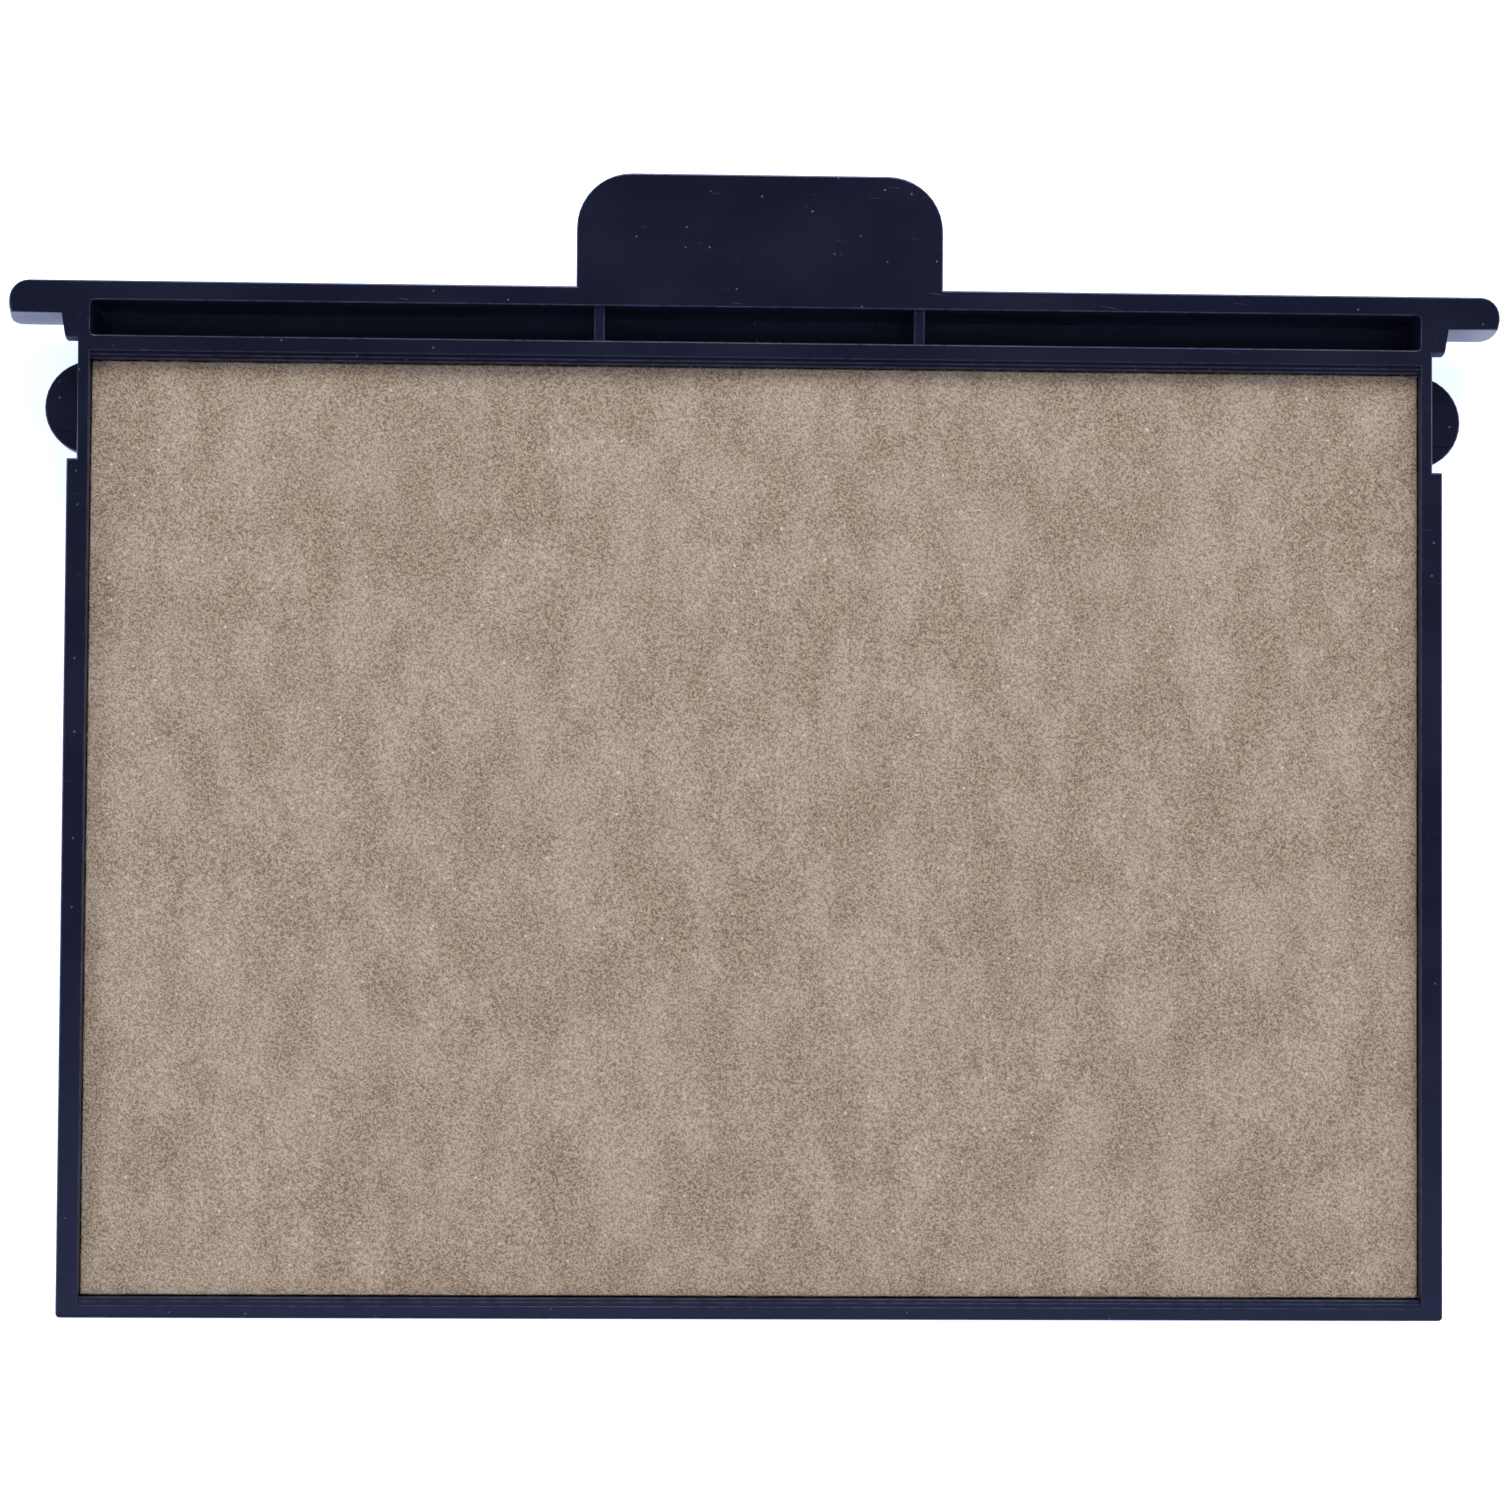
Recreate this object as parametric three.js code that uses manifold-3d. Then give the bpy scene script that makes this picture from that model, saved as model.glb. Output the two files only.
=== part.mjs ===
// Ink-pad cartridge for a self-inking stamp that prints a 60 x 40 mm text plate.
//
// One injection-moulded tray holds a fabric cushion. The tray slides into the stamp on the two
// rails along its sides, its two ears stop against the stamp's housing, a round lug on each side
// clicks into a recess, and a flat tab at the front is gripped to pull it out again.
//
// Millimetres, +Z up. X runs across the cartridge and Y towards the grip tab. The origin is the
// centre of the footprint, on the underside. Places along Y are first measured from the far end,
// the end that goes into the stamp first, and yAt() turns them into the part's own frame.

import * as THREE from 'three';
import { mergeVertices } from 'three/addons/utils/BufferGeometryUtils.js';
import Module from 'manifold-3d';

// The cushion, which everything else is built around, and the film that holds it down.
const CUSHION_WIDTH = 63.5;
const CUSHION_LENGTH = 44.2;
const SURFACE_THICKNESS = 0.8;
const RESERVOIR_THICKNESS = 2.95;
const ADHESIVE_THICKNESS = 0.1;
const ADHESIVE_INSET = 1.0;
const SIDE_CLEARANCE = 0.08;
const FAR_CLEARANCE = 0.15;
const BAR_CLEARANCE = 0.05;

// The tray. Its top is a flange of one thickness, with the body under it.
const TRAY_HEIGHT = 5.5;
const FLANGE_THICKNESS = 1.5;
const FLOOR_THICKNESS = 0.9;
const SIDE_WALL = 0.55;
const FAR_RIM = 0.61;

// Both long walls step inwards twice, just below the rim: how far in, and how far below the rim.
const RIM_STEPS = [
  { inward: 0.2, drop: 0.12 },
  { inward: 0.35, drop: 0.26 },
];

// The hollow bar along the front, with three blind pockets between thin ribs.
const BAR_INNER_RIM = 0.76;
const BAR_OUTER_WALL = 0.94;
const POCKET_ROW_WIDTH = 63.64;
const POCKET_LENGTH = 1.66;
const POCKET_FLOOR = 1.0;
const POCKET_CORNER_RADIUS = 0.18;
const RIB_THICKNESS = 0.52;
const RIB_DROP = 0.12;
const RIB_X = 7.66;

// The grip tab.
const TAB_WIDTH = 17.54;
const TAB_REACH = 5.46;
const TAB_CORNER_RADIUS = 2.65;

// The rails, and the shoulders between the side walls and the ears. The edge of a shoulder that
// goes into the stamp first slopes down to a nose and then back under it.
const RAIL_WIDTH = 0.48;
const RAIL_LENGTH = 40.57;
const RAIL_CORNER_RADIUS = 0.2;
const SHOULDER_START = 46.16;
const SHOULDER_FOOT_WIDTH = 0.58;
const SHOULDER_WIDTH = 0.79;
const SHOULDER_CORNER_RADIUS = 0.25;
const SHOULDER_LEAD = 0.22;
const SHOULDER_UNDERCUT = 0.3;

// The ears, which reach further down than the flange. Their ends swell a little on the way down
// and then round in to the foot: how far out the end is, and how far below the top.
const EAR_START = 47.49;
const EAR_REACH = 3.28;
const EAR_FRONT_RADIUS = 0.95;
const EAR_BACK_TAPER = 0.1;
const EAR_BACK_TAPER_LENGTH = 0.45;
const EAR_END_PROFILE = [
  { outward: 0, drop: 0 },
  { outward: 0.15, drop: 1.1 },
  { outward: 0.27, drop: 2.2 },
  { outward: 0.32, drop: 3.2 },
  { outward: 0.27, drop: 3.8 },
  { outward: 0.08, drop: 4.3 },
];

// The round click lugs, low on the side walls, each with a slightly raised band on it.
const LUG_RADIUS = 2.26;
const LUG_CENTRE = 43.26;
const LUG_CENTRE_INSET = 0.45;
const LUG_DROP = 2.3;
const LUG_THICKNESS = 1.4;
const LUG_BAND_WIDTH = 2.3;
const LUG_BAND_REACH = 1.7;
const LUG_BAND_RAISE = 0.06;

// Shallow round marks of the mould's ejector pins in the underside.
const EJECTOR_RADIUS = 1.75;
const EJECTOR_DEPTH = 0.12;
const EJECTOR_X = [-24, 0, 24];
const EJECTOR_Y = [9, 36];

// How far a cut runs past the face that it opens.
const OVERRUN = 1;

// Straight stretches in a quarter turn of 1 mm radius; a larger turn has more.
const STEPS_PER_QUARTER = 6;
const FEWEST_STEPS = 3;
const SAME_POINT = 1e-6;

// Worked out from the sizes above.
const CAVITY_HALF_WIDTH = CUSHION_WIDTH / 2 + SIDE_CLEARANCE;
const BODY_HALF_WIDTH = CAVITY_HALF_WIDTH + SIDE_WALL;
const LEDGE_INWARD = RIM_STEPS.at(-1).inward;
const CUSHION_START = FAR_RIM + LEDGE_INWARD + FAR_CLEARANCE;
const CUSHION_END = CUSHION_START + CUSHION_LENGTH;
const BAR_START = CUSHION_END + BAR_CLEARANCE + LEDGE_INWARD;
const POCKET_START = BAR_START + BAR_INNER_RIM;
const POCKET_END = POCKET_START + POCKET_LENGTH;
const BAR_END = POCKET_END + BAR_OUTER_WALL;
const TOTAL_LENGTH = BAR_END + TAB_REACH;
const FLANGE_BOTTOM = TRAY_HEIGHT - FLANGE_THICKNESS;
const ADHESIVE_TOP = FLOOR_THICKNESS + ADHESIVE_THICKNESS;
const RESERVOIR_TOP = ADHESIVE_TOP + RESERVOIR_THICKNESS;
const SURFACE_TOP = RESERVOIR_TOP + SURFACE_THICKNESS;

const yAt = (fromFarEnd) => fromFarEnd - TOTAL_LENGTH / 2;

const wasm = await Module();
wasm.setup();

// ---- Outlines and solids ----------------------------------------------------------------------

// The points that round off one corner, between its neighbours, to the given radius.
function roundedCorner(before, corner, after, radius) {
  const back = before.clone().sub(corner).normalize();
  const ahead = after.clone().sub(corner).normalize();
  const halfAngle = Math.acos(back.dot(ahead)) / 2;
  const towardsCentre = back.clone().add(ahead).normalize();
  const centre = corner.clone().addScaledVector(towardsCentre, radius / Math.sin(halfAngle));
  const start = corner.clone().addScaledVector(back, radius / Math.tan(halfAngle)).sub(centre);
  const turn = Math.PI - 2 * halfAngle;
  const perQuarter = Math.max(FEWEST_STEPS, Math.round(STEPS_PER_QUARTER * Math.sqrt(radius)));
  const steps = Math.max(1, Math.round((perQuarter * turn) / (Math.PI / 2)));
  return Array.from({ length: steps + 1 }, (_, step) => {
    const angle = start.angle() + (turn * step) / steps;
    return new THREE.Vector2(Math.cos(angle), Math.sin(angle)).multiplyScalar(radius).add(centre);
  });
}

// A closed outline through corners listed anticlockwise, each [x, y] or [x, y, radius]. Only a
// corner that turns left has a radius. Where two rounded corners meet, their shared point is
// kept once.
function outlineOf(corners) {
  const at = (i) => new THREE.Vector2(...corners.at(i % corners.length));
  const points = corners.flatMap(([, , radius = 0], i) => (
    radius > 0 ? roundedCorner(at(i - 1), at(i), at(i + 1), radius) : [at(i)]
  ));
  const apart = (point, i) => point.distanceTo(points.at(i - 1)) > SAME_POINT;
  return new THREE.Shape(points.filter(apart));
}

// The same corners on the left side.
const mirrored = (corners) => corners.map(([x, ...rest]) => [-x, ...rest]).reverse();

// Turns a closed three.js geometry into a solid that can be joined and cut.
function solid(geometry) {
  const bare = geometry.clone();
  bare.deleteAttribute('normal');
  bare.deleteAttribute('uv');
  const merged = mergeVertices(bare);
  return new wasm.Manifold(new wasm.Mesh({
    numProp: 3,
    vertProperties: Float32Array.from(merged.attributes.position.array),
    triVerts: Uint32Array.from(merged.index.array),
  }));
}

// Turns a solid back into a three.js geometry with flat faces.
function geometryOf(body) {
  const { vertProperties, triVerts } = body.getMesh();
  const geometry = new THREE.BufferGeometry();
  geometry.setAttribute('position', new THREE.BufferAttribute(Float32Array.from(vertProperties), 3));
  geometry.setIndex(Array.from(triVerts));
  const flat = geometry.toNonIndexed();
  flat.computeVertexNormals();
  return flat;
}

// A prism of a plan outline, from one height to another.
function upright(corners, bottom, top) {
  const depth = top - bottom;
  const geometry = new THREE.ExtrudeGeometry(outlineOf(corners), { depth, bevelEnabled: false });
  return solid(geometry.translate(0, 0, bottom));
}

// A prism of an outline seen from the side, in Y and Z, from the left to the right.
function leftToRight(corners, halfWidth) {
  const depth = 2 * halfWidth;
  const geometry = new THREE.ExtrudeGeometry(outlineOf(corners), { depth, bevelEnabled: false });
  geometry.rotateX(Math.PI / 2).rotateZ(Math.PI / 2);
  return solid(geometry.translate(-halfWidth, 0, 0));
}

const rectangle = (x0, x1, y0, y1, radius = 0) => [
  [x0, y0, radius],
  [x1, y0, radius],
  [x1, y1, radius],
  [x0, y1, radius],
];

// ---- The tray ---------------------------------------------------------------------------------

// The right half of the flange in plan, from the far end to the grip tab: rail, side wall, bar
// and tab.
function flangeCorners() {
  const rail = BODY_HALF_WIDTH + RAIL_WIDTH;
  return [
    [rail, yAt(0), RAIL_CORNER_RADIUS],
    [rail, yAt(RAIL_LENGTH)],
    [BODY_HALF_WIDTH, yAt(RAIL_LENGTH)],
    [BODY_HALF_WIDTH, yAt(BAR_END)],
    [TAB_WIDTH / 2, yAt(BAR_END)],
    [TAB_WIDTH / 2, yAt(TOTAL_LENGTH), TAB_CORNER_RADIUS],
  ];
}

function flange() {
  const right = flangeCorners();
  return upright([...right, ...mirrored(right)], FLANGE_BOTTOM, TRAY_HEIGHT);
}

function body() {
  const plan = rectangle(-BODY_HALF_WIDTH, BODY_HALF_WIDTH, yAt(0), yAt(BAR_END));
  return upright(plan, 0, FLANGE_BOTTOM);
}

// One shoulder: its plan, cut to the outline of its edge seen from the side.
function shoulder(change) {
  const edge = yAt(SHOULDER_START);
  const beyond = yAt(EAR_START) + OVERRUN;
  const plan = [
    [BODY_HALF_WIDTH, edge],
    [BODY_HALF_WIDTH + SHOULDER_FOOT_WIDTH, edge, SHOULDER_CORNER_RADIUS],
    [BODY_HALF_WIDTH + SHOULDER_WIDTH, yAt(EAR_START)],
    [BODY_HALF_WIDTH, yAt(EAR_START)],
  ];
  const seenFromSide = [
    [beyond, TRAY_HEIGHT + OVERRUN],
    [edge + SHOULDER_LEAD, TRAY_HEIGHT + OVERRUN],
    [edge + SHOULDER_LEAD, TRAY_HEIGHT],
    [edge, TRAY_HEIGHT - SHOULDER_LEAD],
    [edge + SHOULDER_UNDERCUT, FLANGE_BOTTOM],
    [edge + SHOULDER_UNDERCUT, FLANGE_BOTTOM - OVERRUN],
    [beyond, FLANGE_BOTTOM - OVERRUN],
  ];
  return upright(change(plan), FLANGE_BOTTOM, TRAY_HEIGHT)
    .intersect(leftToRight(seenFromSide, BODY_HALF_WIDTH + SHOULDER_WIDTH + OVERRUN));
}

// One ear: a prism whose end is then pushed out or in at each level of its end profile.
function ear(change) {
  const end = BODY_HALF_WIDTH + EAR_REACH;
  const plan = [
    [BODY_HALF_WIDTH, yAt(EAR_START)],
    [end - EAR_BACK_TAPER, yAt(EAR_START)],
    [end, yAt(EAR_START + EAR_BACK_TAPER_LENGTH)],
    [end, yAt(BAR_END), EAR_FRONT_RADIUS],
    [BODY_HALF_WIDTH, yAt(BAR_END)],
  ];
  const levels = EAR_END_PROFILE.toReversed();
  const steps = levels.length - 1;
  const extrusion = { depth: steps, steps, bevelEnabled: false };
  const geometry = new THREE.ExtrudeGeometry(outlineOf(change(plan)), extrusion);
  const { position } = geometry.attributes;
  for (let i = 0; i < position.count; i += 1) {
    const { outward, drop } = levels[Math.round(position.getZ(i))];
    const x = position.getX(i);
    const isEnd = Math.abs(x) > BODY_HALF_WIDTH + EAR_REACH / 2;
    position.setX(i, isEnd ? x + Math.sign(x) * outward : x);
    position.setZ(i, TRAY_HEIGHT - drop);
  }
  return solid(geometry);
}

// One lug: the half disc outside the side wall, and the raised band.
function lug(change) {
  const centreX = BODY_HALF_WIDTH - LUG_CENTRE_INSET;
  const centreY = yAt(LUG_CENTRE);
  const top = TRAY_HEIGHT - LUG_DROP;
  const halfDisc = [
    [centreX, centreY - LUG_RADIUS],
    [centreX + LUG_RADIUS, centreY - LUG_RADIUS, LUG_RADIUS],
    [centreX + LUG_RADIUS, centreY + LUG_RADIUS, LUG_RADIUS],
    [centreX, centreY + LUG_RADIUS],
  ];
  const band = rectangle(
    centreX,
    centreX + LUG_BAND_REACH,
    centreY - LUG_BAND_WIDTH / 2,
    centreY + LUG_BAND_WIDTH / 2,
  );
  return upright(change(halfDisc), top - LUG_THICKNESS, top)
    .add(upright(change(band), top, top + LUG_BAND_RAISE));
}

// The space for the cushion, wider at the rim by the small steps in the two long walls.
function cavity() {
  const far = [[LEDGE_INWARD, FLOOR_THICKNESS]];
  const levels = [{ inward: 0, drop: -OVERRUN }, ...RIM_STEPS];
  for (let i = levels.length - 1; i > 0; i -= 1) {
    far.push([levels[i].inward, TRAY_HEIGHT - levels[i].drop]);
    far.push([levels[i - 1].inward, TRAY_HEIGHT - levels[i].drop]);
  }
  far.push([0, TRAY_HEIGHT + OVERRUN]);
  const farWall = far.map(([inward, z]) => [yAt(FAR_RIM + inward), z]).reverse();
  const barWall = far.map(([inward, z]) => [yAt(BAR_START - inward), z]);
  return leftToRight([...farWall, ...barWall], CAVITY_HALF_WIDTH);
}

// The row of pockets: one long hollow, without the ribs that divide it nearly up to the top.
function pockets() {
  const [front, back] = [yAt(POCKET_START), yAt(POCKET_END)];
  const half = POCKET_ROW_WIDTH / 2;
  const row = rectangle(-half, half, front, back, POCKET_CORNER_RADIUS);
  const rib = (x) => upright(
    rectangle(x - RIB_THICKNESS / 2, x + RIB_THICKNESS / 2, front - OVERRUN, back + OVERRUN),
    POCKET_FLOOR - OVERRUN,
    TRAY_HEIGHT - RIB_DROP,
  );
  return upright(row, POCKET_FLOOR, TRAY_HEIGHT + OVERRUN).subtract(rib(-RIB_X)).subtract(rib(RIB_X));
}

function ejectorMarks() {
  return EJECTOR_X.flatMap((x) => EJECTOR_Y.map((y) => {
    const square = rectangle(
      x - EJECTOR_RADIUS,
      x + EJECTOR_RADIUS,
      yAt(y) - EJECTOR_RADIUS,
      yAt(y) + EJECTOR_RADIUS,
      EJECTOR_RADIUS,
    );
    return upright(square, -OVERRUN, EJECTOR_DEPTH);
  }));
}

function trayGeometry() {
  const unchanged = (corners) => corners;
  const joined = [ear, shoulder, lug]
    .flatMap((feature) => [feature(unchanged), feature(mirrored)])
    .reduce((whole, feature) => whole.add(feature), body().add(flange()));
  const cut = [cavity(), pockets(), ...ejectorMarks()]
    .reduce((whole, hollow) => whole.subtract(hollow), joined);
  return geometryOf(cut);
}

// ---- The layers in the tray -------------------------------------------------------------------

function layerGeometry(inset, bottom, top) {
  const geometry = new THREE.BoxGeometry(
    CUSHION_WIDTH - 2 * inset,
    CUSHION_LENGTH - 2 * inset,
    top - bottom,
  );
  return geometry.translate(0, yAt((CUSHION_START + CUSHION_END) / 2), (bottom + top) / 2);
}

// ---- Materials and assembly -------------------------------------------------------------------

function material(color, roughness) {
  return new THREE.MeshStandardMaterial({ color, roughness, metalness: 0 });
}

const navyPlastic = material(0x191c2f, 0.28);
const clearFilm = material(0xd8cfae, 0.35);
const reservoirFelt = material(0x9c8d7e, 0.98);
const surfaceFelt = material(0xa49486, 0.95);

function part(name, geometry, finish) {
  const mesh = new THREE.Mesh(geometry, finish);
  mesh.name = name;
  return mesh;
}

const adhesive = layerGeometry(ADHESIVE_INSET, FLOOR_THICKNESS, ADHESIVE_TOP);
const reservoir = layerGeometry(0, ADHESIVE_TOP, RESERVOIR_TOP);
const surface = layerGeometry(0, RESERVOIR_TOP, SURFACE_TOP);

const inkPad = new THREE.Group();
inkPad.add(
  part('tray', trayGeometry(), navyPlastic),
  part('adhesive_sheet', adhesive, clearFilm),
  part('ink_reservoir', reservoir, reservoirFelt),
  part('inking_surface', surface, surfaceFelt),
);

export default inkPad;
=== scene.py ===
"""Looks of an ink-pad cartridge: a glossy moulded tray and its two-layer felt cushion.

Metres, in the row frame: X from ear to ear, Y towards the grip tab, Z up out of the open side.
Texture patterns are sized in millimetres, because the features that they draw are that small.
"""

import math
import random

import bmesh
import bpy
from mathutils import Matrix, Vector, noise


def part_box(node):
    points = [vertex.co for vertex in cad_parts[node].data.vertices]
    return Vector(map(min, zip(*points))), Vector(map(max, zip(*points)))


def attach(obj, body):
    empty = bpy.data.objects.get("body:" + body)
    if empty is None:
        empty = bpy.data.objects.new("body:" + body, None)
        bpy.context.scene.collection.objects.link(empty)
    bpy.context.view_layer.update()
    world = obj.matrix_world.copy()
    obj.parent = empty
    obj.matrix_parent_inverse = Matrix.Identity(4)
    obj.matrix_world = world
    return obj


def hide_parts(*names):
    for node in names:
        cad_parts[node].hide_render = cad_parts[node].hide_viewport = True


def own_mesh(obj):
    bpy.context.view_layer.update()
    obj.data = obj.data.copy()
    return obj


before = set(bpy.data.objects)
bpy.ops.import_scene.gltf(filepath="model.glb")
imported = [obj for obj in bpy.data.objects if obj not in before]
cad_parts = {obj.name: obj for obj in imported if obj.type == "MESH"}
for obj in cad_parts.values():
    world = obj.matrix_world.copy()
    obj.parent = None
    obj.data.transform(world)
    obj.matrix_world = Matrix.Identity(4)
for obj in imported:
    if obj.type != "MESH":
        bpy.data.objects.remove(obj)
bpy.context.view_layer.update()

MM = 0.001
PER_METRE = 1000.0

# How long and how high, in millimetres, the waves are in the borders of the specks' cells.
CELL_WAVE = 0.12

# The tray's edges. An edge with less room beside it than its radius is rounded less, and one with
# very little room stays sharp. Faces that look straight up or down are shaded flat.
EDGE_RADIUS = 0.07 * MM
EDGE_SEGMENTS = 3
SHARE_OF_ROOM = 0.45
SMALLEST_SHARE = 0.45
SAME_PLACE = 0.001 * MM
FLAT_ANGLE = math.radians(1.0)
ROUNDED_ANGLE = math.radians(35.0)
LEVEL_NORMAL = 0.999

# The tray's colours, and how much lighter its rounded edges are: partly real rubbing, partly a
# painted highlight along them.
PLASTIC_DEEP = (0.0042, 0.0047, 0.0150)
PLASTIC_SMUDGED = (0.0064, 0.0072, 0.0205)
PLASTIC_RUB_AND_HIGHLIGHT = (0.035, 0.04, 0.075)
PLASTIC_SCRATCHED = (0.05, 0.06, 0.1)
PLASTIC_DUST = (0.12, 0.14, 0.2)
PLASTIC_TINT = (0.74, 0.79, 1.0, 1.0)
EDGE_WEAR_AND_HIGHLIGHT = 0.6
SIDE_DULLNESS = 0.17

# The felt layers: how far apart their mesh lines are, how far they spread in the clearance that
# their CAD solids keep, and how round and uneven they are.
FELT_SPACING = 0.36 * MM
FELT_EDGE_STEPS = 4
SURFACE_EDGE_RADIUS = 0.09 * MM
RESERVOIR_EDGE_RADIUS = 0.1 * MM
SPREAD_AT_SIDES = 0.07 * MM
SPREAD_AT_FAR_END = 0.11 * MM
SPREAD_AT_BAR = 0.04 * MM
RAGGED_DEPTH = 0.05 * MM
RAGGED_LENGTH = 0.5 * MM
RAGGED_ROUGHNESS = 0.7
RAGGED_OCTAVES = 3
OCTAVE_RATIO = 2.0
UNDULATION_DEPTH = 0.05 * MM
UNDULATION_LENGTH = 6.0 * MM
SURFACE_SHIFT = Vector((0.1, 0.2, 0.4))
RESERVOIR_SHIFT = Vector((0.3, 0.1, 0.2))
SURFACE_NAP = 0.045 * MM
RESERVOIR_NAP = 0.05 * MM

# The colours of the felts' clouds: in the depths between the fibres, darker as painted shade, and at
# their lit tips.
SURFACE_PALE = ((0.225, 0.17, 0.119), (0.49, 0.397, 0.311))
SURFACE_DARK = ((0.15, 0.105, 0.07), (0.435, 0.339, 0.256))
RESERVOIR_PALE = ((0.2, 0.16, 0.12), (0.42, 0.36, 0.29))
RESERVOIR_DARK = ((0.13, 0.1, 0.07), (0.35, 0.28, 0.21))
FLECK = (0.6, 0.56, 0.5)

# Loose fibres on the cushion's face, which curl and arch up, and short straight ones that poke
# out of its cut edges.
FACE_FIBRES = 420
FACE_MARGIN = 1.0 * MM
FACE_LENGTHS = (0.3 * MM, 0.9 * MM)
FACE_ARCHES = (0.01 * MM, 0.06 * MM)
FACE_THICKNESSES = (0.6, 1.2)
MOST_CURL = 1.6
EDGE_FIBRES = 1500
EDGE_REACH = 0.06 * MM
EDGE_LENGTHS = (0.1 * MM, 0.2 * MM)
EDGE_DROPS = (0.03 * MM, 0.25 * MM)
EDGE_THICKNESSES = (0.9, 1.6)
MOST_LEAN = 1.3
FIBRE_RADIUS = 0.009 * MM
FIBRE_TIP = 0.35
FACE_FIBRE_STEPS = 7
EDGE_FIBRE_STEPS = 3
FIBRE_SIDES = 4
FIBRE_SEED = 11

# The camera, above the cartridge and a little towards its far left corner.
CAMERA_PLACE = Vector((-8.545, -8.395, 205.0)) * MM
CAMERA_AIM = Vector((-0.339, -0.288, 5.5)) * MM
CAMERA_ROLL = math.radians(0.37)
CAMERA_LENS = 100.8
SENSOR_WIDTH = 36.0

# The floor, a hair below the tray's underside, and the studio above it. The world is pale near the
# horizon and dark overhead, between these heights on a unit sphere.
FLOOR_HALF = 3.0
FLOOR_GAP = 0.02 * MM
FLOOR_CELLS = 24
FLOOR_GLOW = (0.52, 0.61, 1.0, 1.0)
FLOOR_GLOW_STRENGTH = 1.15
COOL_LIGHT = (0.52, 0.62, 1.0)
HORIZON = (0.62, 0.64, 0.74, 1.0)
OVERHEAD = (0.07, 0.075, 0.085, 1.0)
HORIZON_TOP = 0.3
OVERHEAD_START = 0.85


# ---- Materials ------------------------------------------------------------------------------


class Material:
    """A Principled material, with the few kinds of node that the materials below are made of."""

    def __init__(self, name):
        self.data = bpy.data.materials.new(name)
        self.data.use_nodes = True
        self.tree = self.data.node_tree
        self.shader = self.tree.nodes["Principled BSDF"]
        coordinates = self.tree.nodes.new("ShaderNodeTexCoord").outputs
        inputs = {0: coordinates["Object"], "Scale": PER_METRE}
        self.place = self.add("ShaderNodeVectorMath", inputs, operation="SCALE")
        self.upward = self.add("ShaderNodeSeparateXYZ", {0: coordinates["Normal"]}, output=2)

    def put(self, socket, value):
        if isinstance(value, bpy.types.NodeSocket):
            self.tree.links.new(value, socket)
        else:
            socket.default_value = value

    def add(self, kind, inputs, output=0, **settings):
        made = self.tree.nodes.new(kind)
        for name, value in settings.items():
            setattr(made, name, value)
        for name, value in inputs.items():
            self.put(made.inputs[name], value)
        return made.outputs[output]

    def stretched(self, lengths, turn=0.0):
        """Places in units of these lengths in millimetres, turned about Z by an angle in degrees."""
        turned = self.add(
            "ShaderNodeVectorRotate",
            {"Vector": self.place, "Angle": math.radians(turn)},
            rotation_type="Z_AXIS",
        )
        scale = tuple(1 / length for length in lengths)
        return self.add("ShaderNodeVectorMath", {0: turned, 1: scale}, operation="MULTIPLY")

    def noise(self, lengths, turn=0.0, detail=2.0, roughness=0.5, distortion=0.0, output=0):
        return self.add(
            "ShaderNodeTexNoise",
            {
                "Vector": self.stretched(lengths, turn),
                "Scale": 1.0,
                "Detail": detail,
                "Roughness": roughness,
                "Distortion": distortion,
            },
            output,
        )

    def cells(self, length, output):
        """Random cells in plan, of this size in millimetres, with slightly wavy borders."""
        wave = self.noise((CELL_WAVE,) * 3, detail=1.0, output=1)
        inputs = {0: wave, 1: (CELL_WAVE / length,) * 3, 2: self.stretched((length,) * 3)}
        wavy = self.add("ShaderNodeVectorMath", inputs, operation="MULTIPLY_ADD")
        return self.add(
            "ShaderNodeTexVoronoi",
            {"Vector": wavy, "Scale": 1.0},
            output=output,
            voronoi_dimensions="2D",
        )

    def remap(self, value, low, high, to_low=0.0, to_high=1.0):
        return self.add(
            "ShaderNodeMapRange",
            {"Value": value, "From Min": low, "From Max": high, "To Min": to_low, "To Max": to_high},
            interpolation_type="SMOOTHSTEP",
        )

    def maths(self, operation, a, b):
        return self.add("ShaderNodeMath", {0: a, 1: b}, operation=operation)

    def mix(self, factor, a, b):
        inputs = {0: factor, 6: (*a, 1) if isinstance(a, tuple) else a}
        inputs[7] = (*b, 1) if isinstance(b, tuple) else b
        return self.add("ShaderNodeMix", inputs, output=2, data_type="RGBA")

    def bump(self, height, distance, below=None):
        inputs = {"Strength": 1.0, "Distance": distance, "Height": height}
        if below is not None:
            inputs["Normal"] = below
        return self.add("ShaderNodeBump", inputs)

    def finish(self, **inputs):
        for name, value in inputs.items():
            self.put(self.shader.inputs[name.replace("_", " ")], value)
        return self.data


def specks(material, spacing, size, share):
    """Small round specks on the faces that look up. Lengths are in millimetres."""
    distance = material.cells(spacing, "Distance")
    chance = material.add("ShaderNodeSeparateColor", {0: material.cells(spacing, "Color")})
    dot = material.remap(distance, size / spacing, 0.4 * size / spacing)
    chosen = material.maths("MULTIPLY", dot, material.maths("LESS_THAN", chance, share))
    return material.maths("MULTIPLY", chosen, material.remap(material.upward, 0.7, 0.95))


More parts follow.
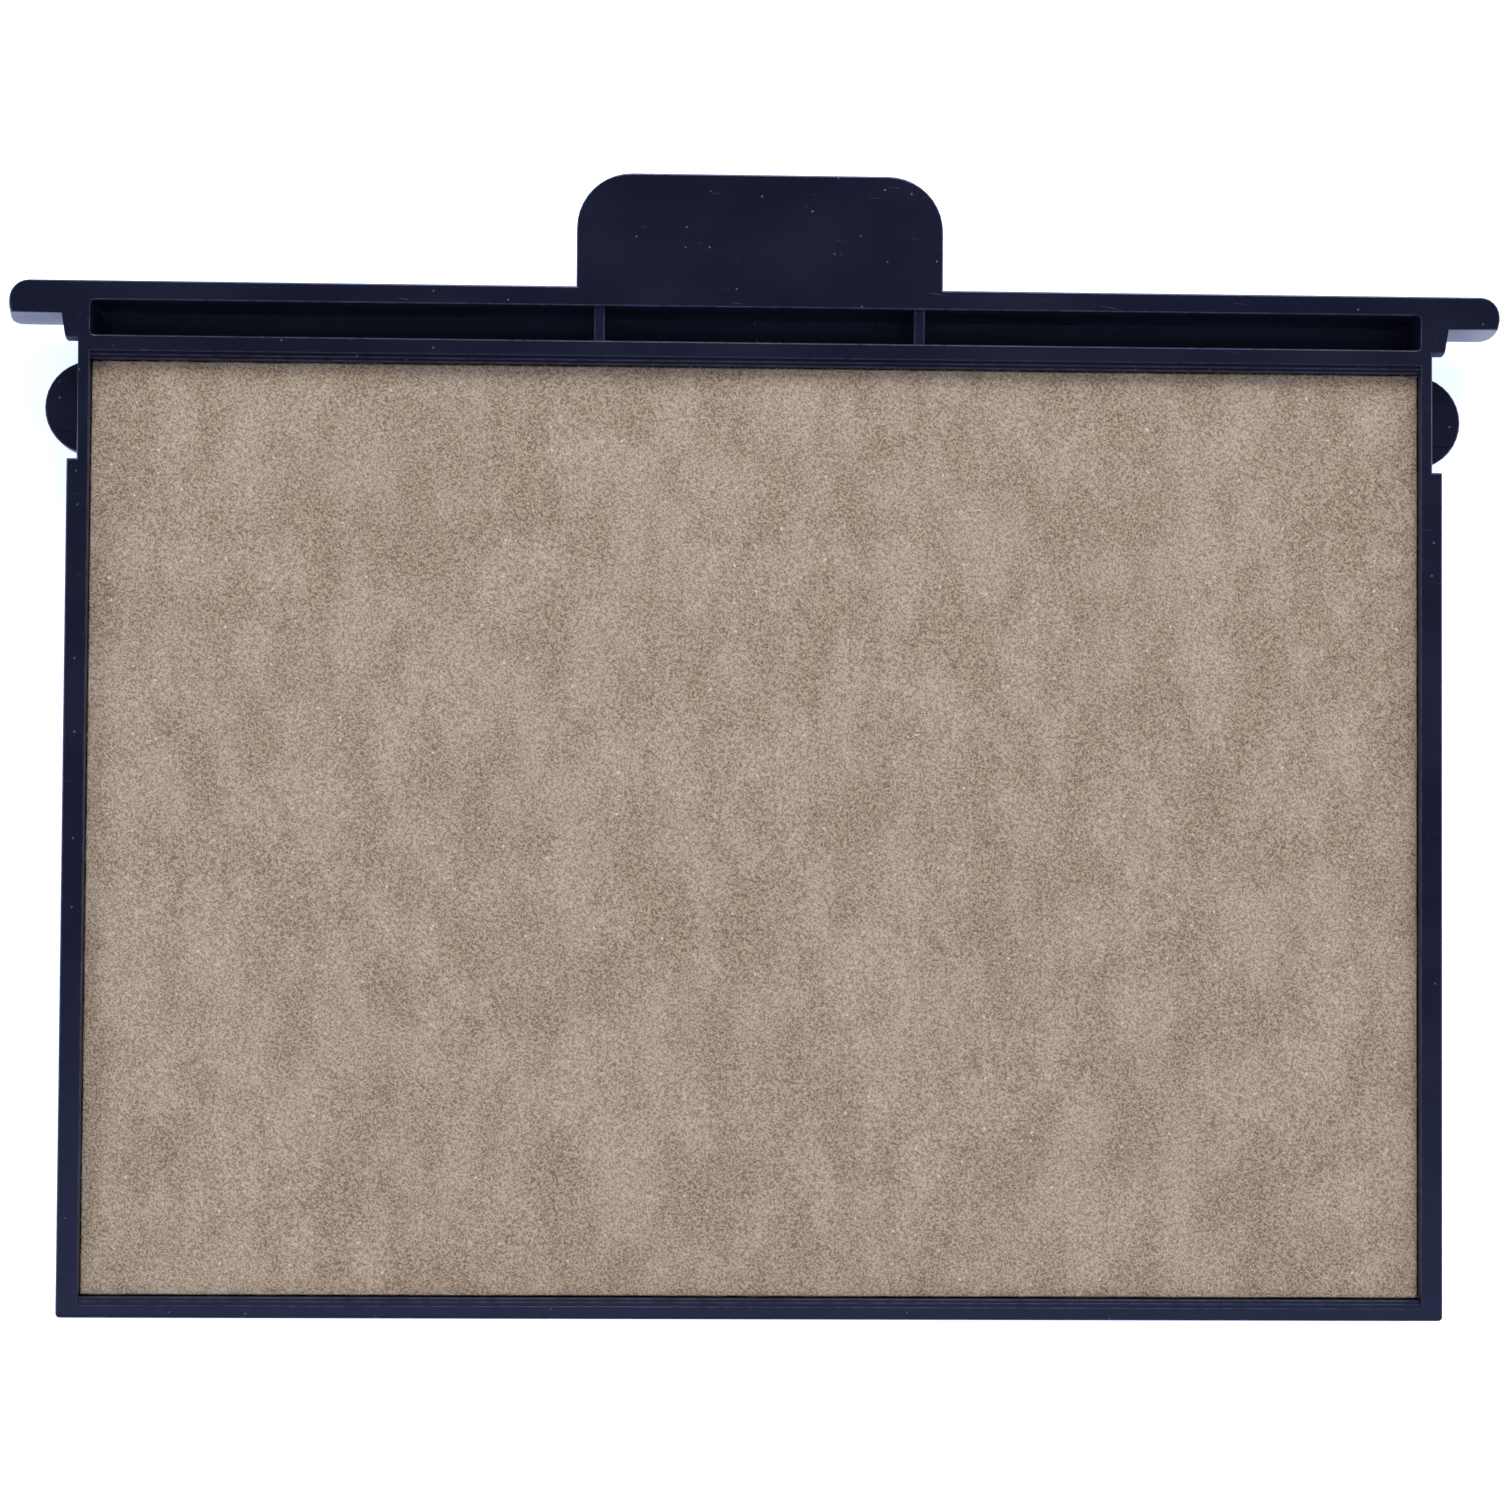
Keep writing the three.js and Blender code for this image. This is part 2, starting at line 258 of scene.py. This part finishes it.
def navy_plastic(name, wear_and_highlight):
    """Dark navy moulding plastic, glossy on top and duller down the sides.

    The second argument is how much of the lighter edge colour it takes, from 0 on faces to 1 on
    edges: partly real rubbing, partly a painted highlight.
    """
    material = Material(name)
    smudges = material.noise((9.0, 5.0, 5.0), detail=3.0)
    drawn = material.noise((14.0, 0.16, 0.16), detail=2.0)
    pebbles = material.noise((0.5, 0.5, 0.5), detail=2.0)
    scratches = material.remap(material.noise((1.6, 0.05, 0.3), turn=8.0), 0.73, 0.8)
    nicks = material.remap(material.noise((0.35, 0.12, 0.3), turn=-35.0), 0.76, 0.82)
    dust = specks(material, spacing=1.2, size=0.06, share=0.16)

    clean = material.mix(smudges, PLASTIC_DEEP, PLASTIC_SMUDGED)
    # Rounded edges take a lighter colour: partly rubbed plastic, partly a painted highlight in place
    # of the lights' reflection along them.
    rubbed_and_highlit = material.mix(material.remap(pebbles, 0.35, 0.65), clean, PLASTIC_RUB_AND_HIGHLIGHT)
    base = material.mix(wear_and_highlight, clean, rubbed_and_highlit) if wear_and_highlight else clean
    marks = material.maths("MAXIMUM", material.maths("MULTIPLY", scratches, 0.4), nicks)
    base = material.mix(material.maths("MULTIPLY", marks, 0.35), base, PLASTIC_SCRATCHED)
    base = material.mix(material.maths("MULTIPLY", dust, 0.5), base, PLASTIC_DUST)

    shine = material.remap(smudges, 0.3, 0.7, 0.2, 0.3)
    sides = material.remap(material.upward, 0.5, 0.9, SIDE_DULLNESS, 0.0)
    dull = material.maths("MAXIMUM", dust, marks)
    roughness = material.maths("ADD", shine, sides)
    roughness = material.maths("ADD", roughness, material.maths("MULTIPLY", dull, 0.3))
    relief = material.bump(pebbles, 0.0025 * MM)
    relief = material.bump(drawn, 0.0006 * MM, relief)
    relief = material.bump(dull, 0.006 * MM, relief)
    return material.finish(
        Base_Color=base,
        Roughness=roughness,
        Normal=relief,
        IOR=1.5,
        Specular_Tint=PLASTIC_TINT,
    )


def felt(name, pale, dark, fleck, nap):
    """Short-napped felt: faint long clouds of colour, and fine fibres lying in every direction.

    pale and dark are the two kinds of cloud, each with a colour for its depths between the fibres,
    darker as painted shade, and one for its lit tips.
    """
    material = Material(name)
    clouds = material.noise((2.0, 3.8, 2.0), detail=4.0, roughness=0.55)
    cloud = material.remap(clouds, 0.34, 0.66)
    across = material.noise((0.21, 0.056, 0.1), turn=25.0, detail=1.0, distortion=0.5)
    along = material.noise((0.056, 0.21, 0.1), turn=-20.0, detail=1.0, distortion=0.5)
    aslant = material.noise((0.06, 0.2, 0.1), turn=50.0, detail=1.0, distortion=0.5)
    fibres = material.maths("MAXIMUM", material.maths("MAXIMUM", across, along), aslant)
    pits = material.noise((0.1, 0.1, 0.1), detail=1.0, distortion=0.6)
    specked = specks(material, spacing=1.1, size=0.08, share=0.12)

    nap_height = material.maths("SUBTRACT", fibres, material.maths("MULTIPLY", pits, 0.7))
    lit = material.remap(nap_height, 0.03, 0.44)
    # The depths between the fibres are painted darker as shade, and the fibre tips lighter as lit;
    # the clouds are the felt's own tone.
    shaded_depths = material.mix(cloud, dark[0], pale[0])
    lit_tips = material.mix(cloud, dark[1], pale[1])
    base = material.mix(lit, shaded_depths, lit_tips)
    base = material.mix(material.maths("MULTIPLY", specked, 0.8), base, fleck)

    relief = material.bump(clouds, 0.02 * MM)
    relief = material.bump(nap_height, nap, relief)
    return material.finish(
        Base_Color=base,
        Roughness=material.remap(fibres, 0.4, 0.7, 0.95, 0.85),
        Normal=relief,
        Sheen_Weight=0.12,
        Sheen_Roughness=0.5,
        Specular_IOR_Level=0.15,
    )


def fibre_material():
    material = Material("loose_fibre")
    tint = material.noise((0.6, 0.6, 0.6), detail=1.0)
    base = material.mix(material.remap(tint, 0.3, 0.7), (0.36, 0.3, 0.25), (0.62, 0.57, 0.52))
    relief = material.bump(tint, 0.003 * MM)
    return material.finish(Base_Color=base, Roughness=0.7, Normal=relief, Sheen_Weight=0.2)


def film():
    """Clear double-sided adhesive film, yellowed a little, with small trapped bubbles."""
    material = Material("adhesive_film")
    tint = material.noise((7.0, 7.0, 7.0), detail=3.0)
    bubbles = specks(material, spacing=1.8, size=0.5, share=0.4)
    base = material.mix(tint, (0.66, 0.6, 0.4), (0.74, 0.68, 0.5))
    base = material.mix(material.maths("MULTIPLY", bubbles, 0.5), base, (0.85, 0.83, 0.72))
    relief = material.bump(material.maths("ADD", tint, bubbles), 0.01 * MM)
    roughness = material.remap(tint, 0.3, 0.7, 0.28, 0.42)
    return material.finish(Base_Color=base, Roughness=roughness, Normal=relief)


def pale_floor():
    """White backdrop that glows coolly, so that glossy plastic mirrors it in lavender."""
    material = Material("pale_floor")
    grain = material.noise((2.0, 2.0, 2.0), detail=3.0)
    base = material.mix(grain, (0.86, 0.86, 0.86), (0.88, 0.88, 0.88))
    relief = material.bump(grain, 0.01 * MM)
    return material.finish(
        Base_Color=base,
        Roughness=0.9,
        Normal=relief,
        Emission_Color=FLOOR_GLOW,
        Emission_Strength=FLOOR_GLOW_STRENGTH,
    )


# ---- Mesh work ------------------------------------------------------------------------------


def placed(name, work, *materials):
    """Makes an object of a bmesh."""
    mesh = bpy.data.meshes.new(name)
    bmesh.ops.recalc_face_normals(work, faces=work.faces)
    work.to_mesh(mesh)
    work.free()
    for material in materials:
        mesh.materials.append(material)
    made = bpy.data.objects.new(name, mesh)
    bpy.context.scene.collection.objects.link(made)
    return made


def narrowness(face):
    """About how wide a face is across its narrow way."""
    return 2 * face.calc_area() / face.calc_perimeter()


def along(loop):
    """The direction that a face's outline runs in at this loop."""
    return (loop.link_loop_next.vert.co - loop.vert.co).normalized()


def room_beside(edge):
    """How far an edge's rounding can reach before it meets the next feature."""
    rooms = [SHARE_OF_ROOM * narrowness(face) for face in edge.link_faces]
    for loop in edge.link_loops:
        for neighbour in (loop.link_loop_prev, loop.link_loop_next):
            if along(neighbour).angle(along(loop)) > ROUNDED_ANGLE:
                rooms.append(SHARE_OF_ROOM * neighbour.edge.calc_length())
    return min(rooms)


def weigh_edges(work):
    """Gives each sharp outer edge its share of the rounding, and keeps the others sharp."""
    weight = work.edges.layers.float.new("bevel_weight_edge")
    for edge in work.edges:
        if edge.calc_face_angle(0.0) > ROUNDED_ANGLE:
            share = min(1.0, room_beside(edge) / EDGE_RADIUS)
            rounded = edge.is_convex and share > SMALLEST_SHARE
            edge[weight] = share if rounded else 0.0
            edge.smooth = rounded


def moulded_tray():
    """The tray with its CAD shape and softly rounded edges, as a moulding has."""
    work = bmesh.new()
    work.from_mesh(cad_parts["tray"].data)
    bmesh.ops.remove_doubles(work, verts=work.verts, dist=SAME_PLACE)
    bmesh.ops.dissolve_limit(work, angle_limit=FLAT_ANGLE, verts=work.verts, edges=work.edges)
    for face in work.faces:
        face.material_index = 0
        face.smooth = abs(face.normal.z) < LEVEL_NORMAL
    weigh_edges(work)
    faces = navy_plastic("tray_faces", 0.0)
    # The edges' material makes them lighter: partly rubbing, partly a painted highlight.
    edges = navy_plastic("tray_edges", EDGE_WEAR_AND_HIGHLIGHT)
    tray = placed("moulded_tray", work, faces, edges)
    rounding = tray.modifiers.new("rounded_edges", "BEVEL")
    rounding.limit_method = "WEIGHT"
    rounding.width = EDGE_RADIUS
    rounding.segments = EDGE_SEGMENTS
    rounding.use_clamp_overlap = False
    rounding.loop_slide = False
    rounding.material = 1
    tray.modifiers.new("even_shading", "WEIGHTED_NORMAL").keep_sharp = True
    return tray


def lines_between(low, high, edge):
    """Places of mesh lines along one side of a block: close together over its rounded ends."""
    ends = [edge * step / FELT_EDGE_STEPS for step in range(FELT_EDGE_STEPS)]
    inside = high - low - 2 * edge
    count = max(1, round(inside / FELT_SPACING))
    middle = [low + edge + inside * step / count for step in range(count + 1)]
    return [low + end for end in ends] + middle + [high - end for end in reversed(ends)]


def block_of_lines(lines):
    """A closed box with mesh lines at these places along X, Y and Z."""
    work = bmesh.new()
    made = {}

    def vertex(axis, end, second, i, third, j):
        key = [0, 0, 0]
        key[axis], key[second], key[third] = end, i, j
        if tuple(key) not in made:
            made[tuple(key)] = work.verts.new([lines[a][key[a]] for a in range(3)])
        return made[tuple(key)]

    for axis in range(3):
        second, third = (axis + 1) % 3, (axis + 2) % 3
        for end in (0, len(lines[axis]) - 1):
            for i in range(len(lines[second]) - 1):
                for j in range(len(lines[third]) - 1):
                    ring = [(i, j), (i + 1, j), (i + 1, j + 1), (i, j + 1)]
                    corners = [vertex(axis, end, second, a, third, b) for a, b in ring]
                    work.faces.new(corners if end else reversed(corners))
    return work


def felt_layer(name, node, edge, material, shift):
    """A cut felt layer in its CAD node's box: rounded, ragged edges and a slightly uneven face."""
    low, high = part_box(node)
    low = low - Vector((SPREAD_AT_SIDES, SPREAD_AT_FAR_END, 0))
    high = high + Vector((SPREAD_AT_SIDES, SPREAD_AT_BAR, 0))
    work = block_of_lines([lines_between(low[a], high[a], edge) for a in range(3)])
    inner_low = low + Vector((edge,) * 3)
    inner_high = high - Vector((edge,) * 3)
    for vertex in work.verts:
        core = Vector(min(max(vertex.co[a], inner_low[a]), inner_high[a]) for a in range(3))
        outward = (vertex.co - core).normalized()
        place = (vertex.co + shift) / RAGGED_LENGTH
        ragged = noise.fractal(place, RAGGED_ROUGHNESS, OCTAVE_RATIO, RAGGED_OCTAVES)
        swell = noise.noise((vertex.co - shift) / UNDULATION_LENGTH)
        sunk = RAGGED_DEPTH * (0.5 + 0.5 * ragged) * (1 - abs(outward.z) ** 3)
        if outward.z > 0:
            sunk += UNDULATION_DEPTH * (0.5 + 0.5 * swell) * outward.z
        vertex.co = core + outward * (edge - min(max(sunk, 0.0), edge))
    for face in work.faces:
        face.smooth = True
    return placed(name, work, material)


def fibre(work, points, radius):
    """One fibre: a closed tube through the points, thinner towards both ends."""
    rings = []
    for i, point in enumerate(points):
        ahead = points[min(i + 1, len(points) - 1)] - points[max(i - 1, 0)]
        across = ahead.cross(Vector((0, 0, 1))).normalized()
        upward = across.cross(ahead).normalized()
        swell = math.sin(math.pi * (i + 0.5) / len(points))
        thick = radius * (FIBRE_TIP + (1 - FIBRE_TIP) * swell)
        ring = []
        for side in range(FIBRE_SIDES):
            angle = 2 * math.pi * side / FIBRE_SIDES
            offset = across * math.cos(angle) + upward * math.sin(angle)
            ring.append(work.verts.new(point + offset * thick))
        rings.append(ring)
    for ring, following in zip(rings, rings[1:]):
        for side in range(FIBRE_SIDES):
            after = (side + 1) % FIBRE_SIDES
            work.faces.new((ring[side], ring[after], following[after], following[side]))
    work.faces.new(reversed(rings[0]))
    work.faces.new(rings[-1])


def curled_path(rng, start, heading, length, height):
    """Points of a fibre that lies along the felt, curls a little and arches up in its middle."""
    turn = rng.uniform(-MOST_CURL, MOST_CURL)
    points = [start.copy()]
    for step in range(FACE_FIBRE_STEPS):
        angle = heading + turn * step / FACE_FIBRE_STEPS
        forward = Vector((math.cos(angle), math.sin(angle), 0)) * length / FACE_FIBRE_STEPS
        points.append(points[-1] + forward)
    for i, point in enumerate(points):
        point.z += height * math.sin(math.pi * i / FACE_FIBRE_STEPS)
    return points


def face_fibre(work, rng, low, high):
    """A curled fibre that lies on the cushion's face, at a place and in a direction at random."""
    x = rng.uniform(low.x + FACE_MARGIN, high.x - FACE_MARGIN)
    y = rng.uniform(low.y + FACE_MARGIN, high.y - FACE_MARGIN)
    start = Vector((x, y, high.z - 0.5 * UNDULATION_DEPTH))
    length = rng.uniform(*FACE_LENGTHS)
    height = rng.uniform(*FACE_ARCHES)
    path = curled_path(rng, start, rng.uniform(0, 2 * math.pi), length, height)
    fibre(work, path, FIBRE_RADIUS * rng.uniform(*FACE_THICKNESSES))


def edge_fibre(work, rng, low, high):
    """A short fibre that pokes out of the cushion's cut edge, at a place all round at random."""
    across_x = rng.random() * (high.x - low.x + high.y - low.y) < high.y - low.y
    side = rng.choice((-1, 1))
    length = rng.uniform(*EDGE_LENGTHS)
    lean = rng.uniform(-MOST_LEAN, MOST_LEAN)
    inset = length * math.cos(lean) - EDGE_REACH
    height = high.z - rng.uniform(*EDGE_DROPS)
    if across_x:
        edge = high.x - inset if side > 0 else low.x + inset
        start = Vector((edge, rng.uniform(low.y, high.y), height))
        heading = lean if side > 0 else math.pi - lean
    else:
        edge = high.y - inset if side > 0 else low.y + inset
        start = Vector((rng.uniform(low.x, high.x), edge, height))
        heading = side * math.pi / 2 + lean
    forward = Vector((math.cos(heading), math.sin(heading), 0)) * length
    points = [start + forward * step / EDGE_FIBRE_STEPS for step in range(EDGE_FIBRE_STEPS + 1)]
    fibre(work, points, FIBRE_RADIUS * rng.uniform(*EDGE_THICKNESSES))


def loose_fibres():
    """Stray fibres of the nap, scattered over the cushion's face and along its cut edges."""
    rng = random.Random(FIBRE_SEED)
    low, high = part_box("inking_surface")
    work = bmesh.new()
    for _ in range(FACE_FIBRES):
        face_fibre(work, rng, low, high)
    for _ in range(EDGE_FIBRES):
        edge_fibre(work, rng, low, high)
    return placed("loose_fibres", work, fibre_material())


# ---- The pieces and how they ride -------------------------------------------------------------


def add_tray():
    tray = moulded_tray()
    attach(tray, "cartridge")
    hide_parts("tray")


def add_film():
    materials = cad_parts["adhesive_sheet"].data.materials
    materials.clear()
    materials.append(film())


def add_reservoir():
    material = felt("reservoir_felt", RESERVOIR_PALE, RESERVOIR_DARK, FLECK, RESERVOIR_NAP)
    layer = felt_layer(
        "reservoir_block", "ink_reservoir", RESERVOIR_EDGE_RADIUS, material, RESERVOIR_SHIFT
    )
    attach(layer, "cartridge")
    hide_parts("ink_reservoir")
    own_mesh(layer)


def add_surface():
    material = felt("surface_felt", SURFACE_PALE, SURFACE_DARK, FLECK, SURFACE_NAP)
    layer = felt_layer(
        "surface_cloth", "inking_surface", SURFACE_EDGE_RADIUS, material, SURFACE_SHIFT
    )
    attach(layer, "pad_face")
    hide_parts("inking_surface")
    fibres = loose_fibres()
    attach(fibres, "pad_face")


# ---- Floor, light and camera ------------------------------------------------------------------


def add_floor():
    work = bmesh.new()
    bmesh.ops.create_grid(work, x_segments=FLOOR_CELLS, y_segments=FLOOR_CELLS, size=FLOOR_HALF)
    bmesh.ops.translate(work, vec=(0, 0, -FLOOR_GAP), verts=work.verts)
    floor = placed("studio_floor", work, pale_floor())


def aimed(place, aim, roll=0.0):
    """The matrix of something at one place that looks at another, with +Y upright in its view."""
    back = (place - aim).normalized()
    right = Vector((0, 1, 0)).cross(back).normalized()
    turned = Matrix((right, back.cross(right), back)).transposed().to_4x4()
    return Matrix.Translation(place) @ turned @ Matrix.Rotation(roll, 4, "Z")


def add_softbox(name, azimuth, elevation, distance, size, watts, colour=(1.0, 1.0, 1.0)):
    """A large soft light. Azimuth 0 is towards +Y and 90 towards +X, in degrees."""
    a, e = math.radians(azimuth), math.radians(elevation)
    direction = Vector((math.sin(a) * math.cos(e), math.cos(a) * math.cos(e), math.sin(e)))
    light = bpy.data.lights.new(name, "AREA")
    light.shape = "RECTANGLE"
    light.size, light.size_y = size
    light.energy = watts
    light.color = colour
    lamp = bpy.data.objects.new(name, light)
    lamp.matrix_world = aimed(direction * distance, Vector((0, 0, 0)))
    lamp.visible_camera = False
    bpy.context.scene.collection.objects.link(lamp)


def add_lights():
    add_softbox("key_softbox", azimuth=8, elevation=36, distance=0.8, size=(0.4, 0.35), watts=6.35)
    add_softbox("left_softbox", azimuth=-90, elevation=40, distance=0.9, size=(0.4, 0.7), watts=2.0)
    add_softbox("right_softbox", azimuth=90, elevation=40, distance=0.9, size=(0.4, 0.7), watts=1.6)
    add_softbox("near_softbox", azimuth=180, elevation=40, distance=0.9, size=(0.9, 0.4), watts=1.3)
    add_softbox(
        "overhead_strip",
        azimuth=180,
        elevation=77.5,
        distance=1.0,
        size=(1.0, 0.15),
        watts=1.2,
        colour=COOL_LIGHT,
    )


def add_world():
    """A pale studio that is dark overhead, so that the glossy faces stay dark from above."""
    world = bpy.data.worlds.new("studio")
    world.use_nodes = True
    nodes, links = world.node_tree.nodes, world.node_tree.links
    direction = nodes.new("ShaderNodeTexCoord").outputs["Generated"]
    height = nodes.new("ShaderNodeSeparateXYZ")
    links.new(direction, height.inputs[0])
    fall = nodes.new("ShaderNodeMapRange")
    fall.interpolation_type = "SMOOTHSTEP"
    links.new(height.outputs["Z"], fall.inputs["Value"])
    fall.inputs["From Min"].default_value = HORIZON_TOP
    fall.inputs["From Max"].default_value = OVERHEAD_START
    shade = nodes.new("ShaderNodeMix")
    shade.data_type = "RGBA"
    shade.inputs[6].default_value = HORIZON
    shade.inputs[7].default_value = OVERHEAD
    links.new(fall.outputs["Result"], shade.inputs[0])
    links.new(shade.outputs[2], nodes["Background"].inputs["Color"])
    nodes["Background"].inputs["Strength"].default_value = 1.0
    bpy.context.scene.world = world


def add_camera():
    data = bpy.data.cameras.new("camera")
    data.lens = CAMERA_LENS
    data.sensor_width = SENSOR_WIDTH
    data.clip_start = 1.0 * MM
    data.clip_end = 20.0
    camera = bpy.data.objects.new("camera", data)
    camera.matrix_world = aimed(CAMERA_PLACE, CAMERA_AIM, CAMERA_ROLL)
    bpy.context.scene.collection.objects.link(camera)
    bpy.context.scene.camera = camera


add_tray()
add_film()
add_reservoir()
add_surface()
add_floor()
add_lights()
add_world()
add_camera()
bpy.context.scene.view_settings.view_transform = "Standard"
